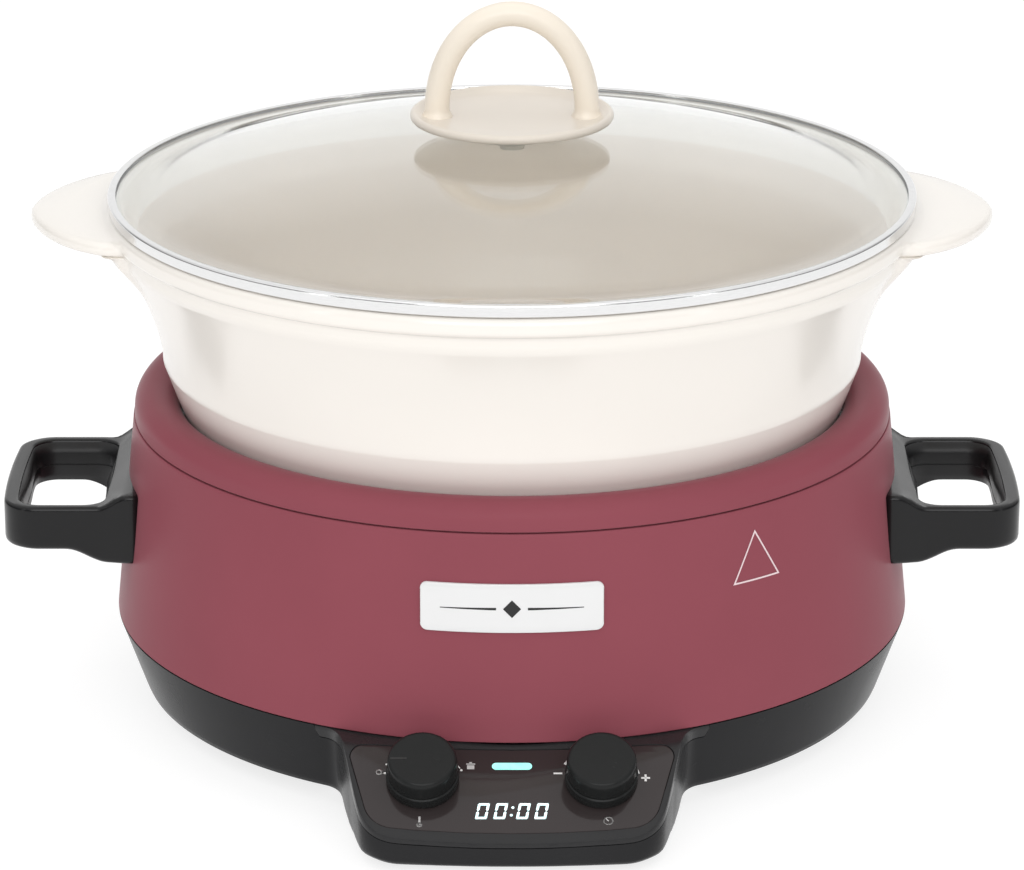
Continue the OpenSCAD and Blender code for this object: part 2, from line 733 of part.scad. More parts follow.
place() bottom_shell();
place() base_cover();
place() rubber_feet();
place() base_screws();
place() wall_shell();
place() top_ring();
place() heating_well();
place() heating_plate();
place() heating_element();
place() heat_shield();
place() temperature_sensor();
place() thermal_fuse();
place() plate_screws();
place() power_board();
place() power_relay();
place() power_transformer();
place() board_screws();
place() terminal_block();
place() power_inlet();
place() inlet_pins();
place() console_bezel();
place() control_panel();
place() panel_marks();
place() status_lens();
place() display_digits();
place() display_module();
place() control_board();
place() mode_switch();
place() timer_encoder();
place() mode_knob();
place() mode_knob_insert();
place() timer_knob();
place() timer_knob_insert();
place() handle_left();
place() handle_left_liner();
place() handle_right();
place() handle_right_liner();
place() handle_screws();
place() name_plate();
place() plate_motif();
place() side_mark();
place() pot();
place() lid_glass();
place() lid_rim();
place() lid_seal();
place() lid_washer();
place() lid_screw();
place() knob_plate();
place() arch_handle();
place() arch_screws();
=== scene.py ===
import bmesh
import bpy
import functools
import math
import numpy as np
from mathutils import Matrix, Vector
from mathutils.geometry import delaunay_2d_cdt


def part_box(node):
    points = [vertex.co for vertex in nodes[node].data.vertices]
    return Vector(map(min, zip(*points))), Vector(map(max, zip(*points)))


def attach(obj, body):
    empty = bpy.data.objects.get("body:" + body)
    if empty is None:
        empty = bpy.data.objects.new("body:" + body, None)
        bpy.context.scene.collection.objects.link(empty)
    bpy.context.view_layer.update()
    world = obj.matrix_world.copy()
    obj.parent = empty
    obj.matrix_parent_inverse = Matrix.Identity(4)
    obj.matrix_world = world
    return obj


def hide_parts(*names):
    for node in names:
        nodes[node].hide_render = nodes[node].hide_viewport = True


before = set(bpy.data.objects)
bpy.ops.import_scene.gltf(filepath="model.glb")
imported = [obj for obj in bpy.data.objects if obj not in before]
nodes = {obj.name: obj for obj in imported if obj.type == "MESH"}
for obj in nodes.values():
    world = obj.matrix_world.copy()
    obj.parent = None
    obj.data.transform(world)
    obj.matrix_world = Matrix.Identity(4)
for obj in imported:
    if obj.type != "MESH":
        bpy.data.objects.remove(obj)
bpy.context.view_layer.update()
scene = bpy.context.scene

# Lengths of the object are millimetres round the bowl's vertical axis, and place() turns them into the
# frame's metres. Angles are degrees where the helpers below take them. Camera, floor and lamps are in metres.
MM = 0.001
wall_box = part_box("wall_shell")
AXIS_Y = (wall_box[0].y + wall_box[1].y) / 2

# body wall: a slightly tapering tube, and the ring that rolls over its top
WALL_FOOT, WALL_TOP = 35.8, 111.8
WALL_FOOT_R, WALL_TAPER = 151.1, 7.8
WALL_THICK = 1.6
RING_R, RING_Z = 135.5, 115.3
ROLL_OUT, ROLL_IN, RING_THICK = 7.3, 9.8, 2.4

# black shell: a cone that curls in below SHELL_CURL_Z
SHELL_CURL_R, SHELL_CURL_Z, SHELL_LEAN = 142, 10, 0.3527

# console: the insert's plane rises towards the wall at TILT through PANEL_Y, PANEL_Z; the line between shell
# and bezel climbs backwards from PART_FRONT to PART_BACK; WING and CONSOLE_END are azimuths from the front
TILT = math.radians(30)
PANEL_Y, PANEL_Z = -152.0, 33.9
CONSOLE_FRONT = 188
WALL_EDGE = 35.5
BEZEL_TOP = 35.55
PART_FRONT, PART_BACK, PART_SLOPE = 11.4, 30.6, math.radians(24)
WING, CONSOLE_END = 28.0, 56
SEAM_GAP = 0.18
BLEND = 9.0

# the inlet's window in the shell's back: heights, edge azimuth and depth
WINDOW_LOW, WINDOW_HIGH = 14, 33
WINDOW_EDGE = 173.7
WINDOW_Y = 142.4

# knobs: places across the insert and down its slope
KNOB_X, KNOB_DOWN = 31.5, 13.5
KNOB_TOP = 12.77

# side handles: outer edge, window and heights, for the right one
GRIP_MID_X = 168.0
GRIP_TOP, GRIP_LOW = 84.8, 67.9

# name plate and side mark on the wall
PLATE_Z, PLATE_LIFT = 85.2, 1.0
MARK_Z, MARK_TURN = 94.2, math.radians(36.9)

# pot and lid
POT_RIM_R = 152.0
EAR_ANGLE = 27.4
DOME_TOP, DOME_EDGE, DOME_EDGE_R = 218.0, 197.5, 138.5
GLASS_THICK = 3.4
ARCH_HALF, ARCH_RISE, ARCH_SPRING, ARCH_FOOT = 27.85, 36.75, 227.2, 225.0


def place(v):
    return (v[0] * MM, v[1] * MM + AXIS_Y, v[2] * MM)


def cos_deg(a):
    return math.cos(math.radians(a))


def sin_deg(a):
    return math.sin(math.radians(a))


# ---------------------------------------------------------------- materials

def srgb(*c):
    return tuple((x / 255 / 12.92) if x <= 10 else ((x / 255 + 0.055) / 1.055) ** 2.4 for x in c) + (1.0,)


def material(name, colour, rough, vary=0.05, scale=45, spread=0.05, grain=0.0, grain_size=0.8, stretch=None,
             **fixed):
    """A surface whose colour and roughness drift a little, with a fine grain in it. Sizes are millimetres."""
    m = bpy.data.materials.new(name)
    m.use_nodes = True
    t = m.node_tree
    shader = t.nodes["Principled BSDF"]
    where = t.nodes.new("ShaderNodeTexCoord").outputs["Object"]
    if stretch:
        mapping = t.nodes.new("ShaderNodeMapping")
        mapping.inputs["Scale"].default_value = stretch
        t.links.new(where, mapping.inputs["Vector"])
        where = mapping.outputs["Vector"]

    def noise(size, detail):
        n = t.nodes.new("ShaderNodeTexNoise")
        n.inputs["Scale"].default_value = 1 / (size * MM)
        n.inputs["Detail"].default_value = detail
        t.links.new(where, n.inputs["Vector"])
        return n.outputs["Fac"]

    ramp = t.nodes.new("ShaderNodeValToRGB")
    low, high = ramp.color_ramp.elements
    low.position, high.position = 0.3, 0.7
    low.color = tuple(c * (1 - vary) for c in colour[:3]) + (1,)
    high.color = tuple(min(1, c * (1 + vary)) for c in colour[:3]) + (1,)
    t.links.new(noise(scale, 3), ramp.inputs["Fac"])
    t.links.new(ramp.outputs["Color"], shader.inputs["Base Color"])
    gloss = t.nodes.new("ShaderNodeMapRange")
    gloss.inputs["To Min"].default_value = max(0.0, rough - spread)
    gloss.inputs["To Max"].default_value = rough + spread
    t.links.new(noise(scale * 0.4, 4), gloss.inputs["Value"])
    t.links.new(gloss.outputs["Result"], shader.inputs["Roughness"])
    if grain:
        bump = t.nodes.new("ShaderNodeBump")
        bump.inputs["Strength"].default_value = grain
        bump.inputs["Distance"].default_value = 0.1 * MM
        t.links.new(noise(grain_size, 2), bump.inputs["Height"])
        t.links.new(bump.outputs["Normal"], shader.inputs["Normal"])
    for key, value in fixed.items():
        shader.inputs[key.replace("_", " ")].default_value = value
    return m


def lit(name, colour, strength, deep):
    """A lit window: its light drifts between its colour and a slightly deeper one."""
    m = material(name, colour, 0.3, vary=0.04, scale=3)
    shader = m.node_tree.nodes["Principled BSDF"]
    ramp = [n for n in m.node_tree.nodes if n.type == "VALTORGB"][0]
    ramp.color_ramp.elements[0].color = deep
    ramp.color_ramp.elements[1].color = colour
    m.node_tree.links.new(ramp.outputs["Color"], shader.inputs["Emission Color"])
    shader.inputs["Emission Strength"].default_value = strength
    return m


def clear_glass(name):
    """Clear tempered glass, with faint smears in its gloss; lamps shine through it."""
    m = material(name, srgb(250, 252, 251), 0.02, vary=0.01, scale=60, spread=0.015,
                 Transmission_Weight=1.0, IOR=1.47)
    t = m.node_tree
    through = t.nodes.new("ShaderNodeBsdfTransparent")
    through.inputs["Color"].default_value = (0.9, 0.91, 0.905, 1)
    mix = t.nodes.new("ShaderNodeMixShader")
    t.links.new(t.nodes.new("ShaderNodeLightPath").outputs["Is Shadow Ray"], mix.inputs[0])
    t.links.new(t.nodes["Principled BSDF"].outputs[0], mix.inputs[1])
    t.links.new(through.outputs[0], mix.inputs[2])
    t.links.new(mix.outputs[0], t.nodes["Material Output"].inputs["Surface"])
    return m


# painted and moulded surfaces of the body
RED = material("red_paint", srgb(140, 75, 85), 0.36, vary=0.025, spread=0.03, grain=0.25, grain_size=0.5,
               IOR=1.11, Sheen_Weight=0.1, Sheen_Roughness=0.3)
BLACK = material("black_plastic", srgb(45, 45, 46), 0.26, vary=0.06, grain=0.3, grain_size=0.6, IOR=1.12)
BEZEL = material("bezel_plastic", srgb(43, 43, 44), 0.26, vary=0.06, grain=0.3, grain_size=0.6, IOR=1.3)
GRIP = material("grip_plastic", srgb(20, 20, 21), 0.22, vary=0.06, spread=0.04, grain=0.12, grain_size=0.7,
                IOR=1.36)
LINER = material("liner_plastic", srgb(22, 22, 23), 0.4, vary=0.08, grain=0.3, grain_size=0.7,
                 Specular_IOR_Level=0.35)
# glossy insert: dark grey, lightened and tinted red as painted reflection of the red wall above it
PANEL = material("panel_gloss", srgb(51, 45, 45), 0.1, spread=0.02, IOR=1.36)
KNOB = material("knob_plastic", srgb(32, 33, 33), 0.26, vary=0.06, spread=0.04, grain=0.15, grain_size=0.5,
                IOR=1.24)
RUBBER = material("foot_rubber", srgb(26, 26, 26), 0.7, vary=0.1, grain=0.4, grain_size=0.5)
COVER = material("cover_plastic", srgb(35, 35, 37), 0.5, vary=0.06, grain=0.5, grain_size=0.9)

# pot and lid
# pot's inside: a darker cream than the outside glaze, painted shade of the pot's hollow
SHADED_INSIDE = material("cream_inside_painted_shade", srgb(222, 211, 200), 0.28, vary=0.003, scale=240, spread=0.02)
CREAM = material("cream_glaze", srgb(239, 234, 227), 0.2, vary=0.012, scale=70, spread=0.03, grain=0.05,
                 grain_size=5, Coat_Weight=0.3, Coat_Roughness=0.1)
IVORY = material("cream_plastic", srgb(239, 229, 214), 0.3, vary=0.015, spread=0.04)
DISH = material("cream_plate", srgb(221, 212, 200), 0.3, vary=0.015, spread=0.04)
STEEL = material("rim_steel", srgb(228, 228, 228), 0.13, vary=0.03, scale=3, grain=0.08, grain_size=1.2,
                 stretch=(1, 1, 14), Metallic=1.0)
GLASS = clear_glass("lid_glass")
SILICONE = material("seal_silicone", srgb(216, 210, 200), 0.55, vary=0.03, scale=5)

# plate, prints and lights
WHITE = material("plate_white", srgb(226, 226, 226), 0.2, vary=0.012, spread=0.03, Coat_Weight=0.4)
# black of the plate's printed motif, also used as painted shade in the mode knob's pointer groove
INK_AND_GROOVE_SHADE = material("motif_black", srgb(24, 24, 24), 0.4, vary=0.08, scale=4)
PRINT = material("printed_white", srgb(232, 232, 230), 0.45, scale=3)
PALE_PRINT = material("side_mark_white", srgb(226, 203, 206), 0.45, scale=3)
DIM_PRINT = material("printed_grey", srgb(186, 184, 183), 0.45, vary=0.08, scale=2)
LED = lit("status_light", srgb(158, 236, 226), 0.62, srgb(140, 226, 216))
DIGITS = lit("digit_light", srgb(236, 255, 255), 1.0, srgb(205, 246, 250))

# parts inside and underneath
SCREW = material("screw_steel", srgb(184, 184, 184), 0.3, scale=2, Metallic=1.0)
WELL = material("spun_aluminium", srgb(185, 187, 189), 0.28, vary=0.04, scale=3, stretch=(1, 1, 12),
                Metallic=1.0)
CAST = material("cast_aluminium", srgb(142, 144, 146), 0.5, vary=0.08, scale=8, grain=0.5, grain_size=1.5,
                Metallic=1.0)
SHEATH = material("oxidised_sheath", srgb(90, 85, 82), 0.45, vary=0.2, scale=6, Metallic=0.9)
ZINC = material("galvanised_steel", srgb(195, 198, 200), 0.35, vary=0.12, scale=7, Metallic=1.0)
BISQUE = material("bare_ceramic", srgb(216, 216, 208), 0.6, vary=0.04, scale=2)
LAMINATE = material("board_laminate", srgb(47, 107, 69), 0.4, vary=0.12, scale=3)
RELAY = material("relay_blue", srgb(46, 79, 138), 0.25, vary=0.04, scale=5)
COIL = material("coil_yellow", srgb(201, 162, 60), 0.4, vary=0.08, scale=2)
NYLON = material("terminal_nylon", srgb(233, 233, 228), 0.4, vary=0.03, scale=3)

FINISHES = {
    "bottom_shell": BLACK, "base_cover": COVER, "rubber_feet": RUBBER, "base_screws": SCREW,
    "wall_shell": RED, "top_ring": RED, "heating_well": WELL, "heating_plate": CAST,
    "heating_element": SHEATH, "heat_shield": ZINC, "temperature_sensor": BISQUE, "thermal_fuse": BISQUE,
    "plate_screws": SCREW, "power_board": LAMINATE, "power_relay": RELAY, "power_transformer": COIL,
    "board_screws": SCREW, "terminal_block": NYLON, "power_inlet": COVER, "inlet_pins": SCREW,
    "console_bezel": BEZEL, "control_panel": PANEL, "panel_marks": PRINT, "status_lens": LED,
    "display_digits": DIGITS, "display_module": COVER, "control_board": LAMINATE, "mode_switch": ZINC,
    "timer_encoder": ZINC, "mode_knob": KNOB, "mode_knob_insert": WELL, "timer_knob": KNOB,
    "timer_knob_insert": WELL, "handle_left": GRIP, "handle_left_liner": LINER, "handle_right": GRIP,
    "handle_right_liner": LINER, "handle_screws": SCREW, "name_plate": WHITE, "plate_motif": INK_AND_GROOVE_SHADE,
    "side_mark": PALE_PRINT, "pot": CREAM, "lid_glass": GLASS, "lid_rim": STEEL, "lid_seal": SILICONE,
    "lid_washer": NYLON, "lid_screw": NYLON, "knob_plate": DISH, "arch_handle": IVORY,
    "arch_screws": SCREW,
}
for node, finish in FINISHES.items():
    mesh = nodes[node].data
    mesh.materials.clear()
    mesh.materials.append(finish)


# ---------------------------------------------------------------- mesh tools

def piece(name, verts, faces, finish, body, stands_for, sharp=40, matrix=None):
    """One visible piece from millimetre points, smooth except at edges sharper than the given angle."""
    bm = bmesh.new()
    made = [bm.verts.new(place(matrix @ Vector(v) if matrix else v)) for v in verts]
    for f in faces:
        bm.faces.new([made[i] for i in f])
    bmesh.ops.remove_doubles(bm, verts=bm.verts, dist=2e-6)
    bmesh.ops.recalc_face_normals(bm, faces=bm.faces)
    for f in bm.faces:
        f.smooth = True
    for edge in bm.edges:
        if len(edge.link_faces) == 2 and edge.calc_face_angle(0) > math.radians(sharp):
            edge.smooth = False
    mesh = bpy.data.meshes.new(name)
    bm.to_mesh(mesh)
    bm.free()
    mesh.materials.append(finish)
    o = bpy.data.objects.new(name, mesh)
    scene.collection.objects.link(o)
    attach(o, body)
    if stands_for:
        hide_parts(*stands_for)


def grid_faces(rows, cols, wrap_rows=False, wrap_cols=False):
    """Quads over points that lie row after row."""
    faces = []
    for i in range(rows if wrap_rows else rows - 1):
        for j in range(cols if wrap_cols else cols - 1):
            a, b = i * cols + j, i * cols + (j + 1) % cols
            c, d = (i + 1) % rows * cols + (j + 1) % cols, (i + 1) % rows * cols + j
            faces.append((a, b, c, d))
    return faces


def lathe(name, profile, finish, body, stands_for, turns=256, sharp=40, closed=True, matrix=None):
    """A profile of radius and height turned round the vertical axis; a closed one joins its two ends."""
    verts = [(r * cos_deg(360 * j / turns), r * sin_deg(360 * j / turns), z)
             for r, z in profile for j in range(turns)]
    piece(name, verts, grid_faces(len(profile), turns, closed, True), finish, body, stands_for, sharp,
          matrix)


def arc(cx, cy, r, a0, a1, n, ry=None):
    """Points of a round or, with ry, an elliptical arc."""
    ry = r if ry is None else ry
    turns = [a0 + (a1 - a0) * i / n for i in range(n + 1)]
    return [(cx + r * cos_deg(a), cy + ry * sin_deg(a)) for a in turns]


def line(a, b, n):
    """Evenly spaced points from a to b, in n steps."""
    return [tuple(p + (q - p) * i / n for p, q in zip(a, b)) for i in range(n + 1)]


def mirrored(points):
    """The same points with x turned round, in reverse order."""
    return [(-x, y) for x, y in reversed(points)]


def step(x, a, b):
    """Smooth rise from 0 at a to 1 at b."""
    x = min(1, max(0, (x - a) / (b - a)))
    return x * x * (3 - 2 * x)


def polar(points):
    """Angle and radius of an outline's points, sorted by angle, for interpolation."""
    table = sorted((math.degrees(math.atan2(y, x)), math.hypot(x, y)) for x, y in points)
    return [a for a, _ in table], [r for _, r in table]


# ---------------------------------------------------------------- wall and ring

def wall_r(z):
    """Outer radius of the red wall."""
    return WALL_FOOT_R - WALL_TAPER * (z - WALL_FOOT) / (WALL_TOP - WALL_FOOT)


def wall():
    outside = [(149.5, 35.9), (150.8, 35.9), (151.05, 36.2)] + [(wall_r(z), z) for z in range(38, 112, 6)]
    top = [(143.35, 111.2), (143.1, 111.65), (141.7, 111.75)]
    inside = [(wall_r(z) - WALL_THICK, z) for z in range(105, 38, -8)]
    lathe("wall_skin", outside + top + inside, RED, "base", ["wall_shell"])


def ring():
    """Top ring: half a round roll outside, a wider half inside, hollow underneath."""
    seam = [(141.6, 107), (141.6, 111.9), (142.5, 112.1), (142.95, 112.45), (142.85, 114)]
    roll = (arc(RING_R, RING_Z, ROLL_OUT, 0, 90, 12)
            + arc(RING_R, RING_Z, ROLL_IN, 96, 180, 14, ROLL_OUT))
    hollow = (arc(RING_R, RING_Z, ROLL_IN - RING_THICK, 180, 90, 10, ROLL_OUT - RING_THICK)
              + arc(RING_R, RING_Z, ROLL_OUT - RING_THICK, 80, 0, 8))
    lathe("ring_skin", seam + roll + [(125.7, 110.4), (127.9, 110.4)] + hollow + [(140.4, 107)], RED, "base",
          ["top_ring"])


# ---------------------------------------------------------------- shell and console

def plane_z(y, drop=0.0):
    """Height of the insert's plane, or of a surface that lies drop below it."""
    return PANEL_Z + (y - PANEL_Y) * math.tan(TILT) - drop


right_half = ([(66.5, -96), (64.6, -112), (62.9, -128), (60.6, -146), (58.2, -158)]
              + arc(38.7, -168.9, 17, -11, -84, 14) + [(30, -186.7), (20, -187.4), (10, -187.9)])
console_outline = right_half + [(0, -CONSOLE_FRONT)] + mirrored(right_half)


@functools.cache
def console_table(z):
    """The console's outline at a height; towards its foot it leans inwards and its corners get rounder."""
    foot_roll = max(0, (7.5 - z) / 5) ** 2
    front = 0.12 * max(0, 15.5 - z) + 1.1 * foot_roll
    side = 0.05 * (34 - z) + 0.8 * foot_roll
    points = []
    last = len(console_outline) - 1
    for i, (x, y) in enumerate(console_outline):
        before, after = console_outline[max(0, i - 1)], console_outline[min(last, i + 1)]
        tx, ty = after[0] - before[0], after[1] - before[1]
        length = math.hypot(tx, ty)
        nx, ny = -ty / length, tx / length
        if nx * x + ny * y < 0:
            nx, ny = -nx, -ny
        corner = 1.6 * max(0, (13 - z) / 10) ** 2 * (2 * nx * ny) ** 2
        points.append((x - nx * (side * abs(nx) + corner), y - ny * (front * abs(ny) + corner)))
    return polar(points)


def console_r(a, z):
    """Radius of the console's side at azimuth a, in degrees from the front, or 0 beyond it."""
    if abs(a) >= CONSOLE_END:
        return 0
    return float(np.interp(a - 90, *console_table(round(z * 2) / 2)))


def shell_r(z):
    """Radius of the black shell: a cone that curls in at its foot."""
    above = z - SHELL_CURL_Z
    return SHELL_CURL_R + (above * SHELL_LEAN if above > 0 else -3.2 * (above / 3.8) ** 2)


def skin_r(a, z):
    """Shell and console as one surface, with a hollow blend where they meet."""
    p, q = shell_r(z), console_r(a, z)
    gap = abs(p - q)
    return max(p, q) + ((BLEND - gap) ** 2 / (4 * BLEND) if gap < BLEND else 0)


def foot_z(a):
    """Height of the skin's lower edge: lower under the console than round the bowl."""
    return 2.8 + 3.4 * step(abs(a), 19.5, 25)


def part_z(a):
    """Height of the line between shell and bezel; outside the bezel's wings it is the wall's lower edge."""
    a = abs(a)
    if a > WING:
        return WALL_EDGE
    rise = PART_FRONT + (CONSOLE_FRONT - skin_r(a, 24) * cos_deg(a)) * math.tan(PART_SLOPE)
    low = min(rise, PART_BACK)
    return low + (WALL_EDGE - low) * step(a, WING - 0.1, WING) if a > WING - 1 else low


def on_side(a, r, z):
    """Point at azimuth a, in degrees from the front."""
    return (r * sin_deg(a), -r * cos_deg(a), z)


# every 1.5 degrees, every 0.5 at the console, and close to the wings' and the inlet window's edges
AZIMUTHS = sorted(set([-180 + 1.5 * i for i in range(240)] + [-34 + 0.5 * i for i in range(137)]
                      + [s * (WING + d) for s in (-1, 1) for d in (-0.05, 0.05)]
                      + [-WINDOW_EDGE, WINDOW_EDGE]))


def shell():
    """Black shell with the console tray in one skin; the inlet's window is cut out of its back."""
    foot_roll = ((14, 0), (3.4, 0), (1.5, 0.2), (0.5, 0.8))
    back_heights = [8.1, 10, 12, 14, 16.4, 18.8, 21.2, 23.6, 26, 28.4, 30.8, 33, 34.3, 35.5]
    verts = []
    for a in AZIMUTHS:
        foot, top = foot_z(a), part_z(a) - (SEAM_GAP if abs(a) < WING else 0)
        heights = np.linspace(foot + 1.9, top, len(back_heights)) if abs(a) < 100 else back_heights
        verts += [on_side(a, skin_r(a, foot) - inset, foot + up) for inset, up in foot_roll]
        verts += [on_side(a, skin_r(a, z), z) for z in heights]
        verts += [on_side(a, skin_r(a, top) - 1.0, top - 0.05), on_side(a, skin_r(a, top) - 1.1, top - 2)]
    rows = len(verts) // len(AZIMUTHS)
    low, high = (len(foot_roll) + back_heights.index(z) for z in (WINDOW_LOW, WINDOW_HIGH))
    left = [i for i, a in enumerate(AZIMUTHS) if a <= -WINDOW_EDGE]
    right = [i for i, a in enumerate(AZIMUTHS) if a >= WINDOW_EDGE]
    behind = right + left
    faces = [f for f in grid_faces(len(AZIMUTHS), rows, True, False)
             if not (f[0] // rows in behind and f[2] // rows in behind and low <= f[0] % rows < high)]
    edge = [i * rows + low for i in behind] + [behind[-1] * rows + j for j in range(low + 1, high)]
    edge += [i * rows + high for i in reversed(behind)]
    edge += [behind[0] * rows + j for j in range(high - 1, low, -1)]
    first, n = len(verts), len(edge)
    verts += [(verts[k][0], WINDOW_Y, verts[k][2]) for k in edge]
    faces += [(edge[k], edge[(k + 1) % n], first + (k + 1) % n, first + k) for k in range(n)]
    piece("shell_skin", verts, faces, BLACK, "base", ["bottom_shell"], sharp=48)


def top_point(a, inset):
    """Where the bezel's side meets its sloping top, moved inwards by inset."""
    lo, hi = 10.0, 36.0
    for _ in range(18):
        mid = (lo + hi) / 2
        if mid < min(BEZEL_TOP, plane_z(-skin_r(a, mid) * cos_deg(a))):
            lo = mid
        else:
            hi = mid
    r = skin_r(a, lo) - inset
    return on_side(a, r, min(BEZEL_TOP, plane_z(-r * cos_deg(a))))


def insert_outline(grow, n=8):
    """Outline of the glossy insert, grown outwards; n is the number of steps in each corner."""
    side = ([(0.0, -152.2 + grow), (20, -151.9 + grow), (38, -151.0 + grow), (48, -150.25 + grow)]
            + arc(52.9, -154.6, 4.4 + grow, 88, -6, n) + arc(41.3, -170.6, 11 + grow, -14, -82, n)
            + [(34, -182.4 - grow), (17, -183.4 - grow)])
    return side + [(0.0, -183.75 - grow)] + mirrored(side[1:])


def inside(x, y, polygon):
    """Whether a point lies in a polygon, by counting crossings."""
    hit = False
    for (x0, y0), (x1, y1) in zip(polygon, polygon[1:] + polygon[:1]):
        if (y0 > y) != (y1 > y) and x < (x1 - x0) * (y - y0) / (y1 - y0) + x0:
            hit = not hit
    return hit


def bezel():
    """Console frame: its side from the parting line upwards, and the sloping top round the insert."""
    verts, rim = [], []
    spots = [a for a in AZIMUTHS if abs(a) < WING]
    for a in spots:
        low = part_z(a) + SEAM_GAP
        side_top = max(low + 0.3, top_point(a, 0)[2] - 1.1)
        x, y, z = top_point(a, 0.35)
        rim.append(top_point(a, 1.2))
        verts.append(on_side(a, skin_r(a, low) - 1.1, low + 0.05))
        verts += [on_side(a, skin_r(a, h), h) for h in np.linspace(low, side_top, 9)]
        verts += [(x, y, max(side_top, z - 0.3)), rim[-1]]
    faces = grid_faces(len(spots), len(verts) // len(spots))

    hole = insert_outline(0.25)
    outer = [p[:2] for p in rim] + [on_side(a, 150.2, 0)[:2] for a in np.linspace(26.4, -26.4, 60)]
    m, n = len(outer), len(hole)
    edges = [(i, (i + 1) % m) for i in range(m)] + [(m + i, m + (i + 1) % n) for i in range(n)]
    flat, _, triangles, _, _, _ = delaunay_2d_cdt([Vector(p) for p in outer + hole], edges, [], 0, 1e-4)
    for f in triangles:
        x, y = sum(flat[i].x for i in f) / len(f), sum(flat[i].y for i in f) / len(f)
        if inside(x, y, outer) and not inside(x, y, hole):
            faces.append(tuple(len(verts) + i for i in f))
    verts += [(p.x, p.y, min(BEZEL_TOP, plane_z(p.y))) for p in flat]

    start = len(verts)
    verts += [(x, y, plane_z(y, drop)) for drop in (0.0, 2.0) for x, y in hole]
    faces += [(start + i, start + (i + 1) % n, start + n + (i + 1) % n, start + n + i) for i in range(n)]
    piece("bezel_skin", verts, faces, BEZEL, "base", ["console_bezel"], sharp=32)


def panel():
    """Glossy insert with a softly rounded edge."""
    levels = ((0, 1.8), (0, 0.35), (-0.1, 0.12), (-0.4, 0.0))
    verts = [(x, y, plane_z(y, drop)) for grow, drop in levels for x, y in insert_outline(grow)]
    n = len(verts) // len(levels)
    top = tuple(range(len(verts) - n, len(verts)))
    piece("panel_skin", verts, grid_faces(len(levels), n, False, True) + [top], PANEL, "base",
          ["control_panel"], sharp=20)


# ---------------------------------------------------------------- prints, lights and knobs on the console

def panel_matrix(x, down, lift=0.0):
    """Local frame on the panel: X across, Y up the slope, Z out of it."""
    origin = Vector((x, PANEL_Y - down * math.cos(TILT), PANEL_Z - down * math.sin(TILT)))
    turn = Matrix.Rotation(TILT, 4, "X")
    return Matrix.Translation(origin) @ turn @ Matrix.Translation((0, 0, lift))


def flat_piece(name, shapes, thick, finish, body, stands_for, matrix, sharp=20):
    """Thin prisms from closed outlines in panel coordinates."""
    verts, faces = [], []
    for shape in shapes:
        s, n = len(verts), len(shape)
        verts += [(x, y, z) for z in (0.0, thick) for x, y in shape]
        faces.append(tuple(range(s + n, s + 2 * n)))
        faces += [(s + i, s + (i + 1) % n, s + n + (i + 1) % n, s + n + i) for i in range(n)]
    piece(name, verts, faces, finish, body, stands_for, sharp, matrix)


def ring_shape(x, y, r, w, n=28):
    """A ring as quads; each quad is one outline."""
    out, inn = arc(x, y, r, 0, 360, n), arc(x, y, r - w, 0, 360, n)
    return [[out[i], out[i + 1], inn[i + 1], inn[i]] for i in range(n)]


def bar_shape(x, y, w, h, turn=0):
    """A rectangle round x, y."""
    c, s = cos_deg(turn), sin_deg(turn)
    return [(x + u * w / 2 * c - v * h / 2 * s, y + u * w / 2 * s + v * h / 2 * c)
            for u, v in ((-1, -1), (1, -1), (1, 1), (-1, 1))]


def disc_shape(x, y, r, n=18):
    return arc(x, y, r, 0, 360 - 360 / n, n - 1)


def round_knob(x, r, a):
    """Point on the panel at a radius and angle round a knob's axis."""
    return (x + r * cos_deg(a), -KNOB_DOWN + r * sin_deg(a))


def bright_marks():
    """Off ring, end dots and scale of the mode knob, and minus, wedge and plus of the timer knob."""
    shapes = ring_shape(-46.9, -10.0, 1.2, 0.55)
    shapes += [disc_shape(-44.9, -10.5, 0.45), disc_shape(-17.9, -9.2, 0.45)]
    shapes += [bar_shape(-18.7, -7.9, 0.35, 1.3, 35), bar_shape(16.2, -10.6, 3.1, 0.7)]
    shapes += [bar_shape(47.1, -12.6, 3.1, 0.75), bar_shape(47.1, -12.6, 0.75, 3.0)]
    angles = np.linspace(152, 12, 24)
    outer = [round_knob(KNOB_X, 13.9 + 1.1 * step(a, 90, 152), a) for a in angles]
    inner = [round_knob(KNOB_X, 13.4, a) for a in angles]
    shapes += [[outer[i], outer[i + 1], inner[i + 1], inner[i]] for i in range(len(angles) - 1)]
    shapes += [disc_shape(*round_knob(-KNOB_X, 14.6, 180 - a), 0.35, 12) for a in range(28, 160, 22)]
    return shapes


def dim_marks():
    """Clock outline, thermometer and pot."""
    clock = ring_shape(33.7, -31.2, 1.8, 0.5) + [bar_shape(33.3, -30.8, 0.45, 1.6, 40)]
    thermometer = ring_shape(-32.4, -33.0, 1.05, 1.04, 16) + [bar_shape(-32.4, -30.8, 0.75, 2.8)]
    small_pot = [bar_shape(-14.6, y, w, h)
                 for y, w, h in ((-7.9, 2.6, 1.7), (-6.5, 3.2, 0.45), (-5.9, 0.9, 0.5))]
    return clock + thermometer + small_pot


def panel_prints():
    on_panel = panel_matrix(0, 0, 0.01)
    flat_piece("mark_prints", bright_marks(), 0.06, PRINT, "base", ["panel_marks"], on_panel)
    flat_piece("mark_prints_dim", dim_marks(), 0.06, DIM_PRINT, "base", [], on_panel)


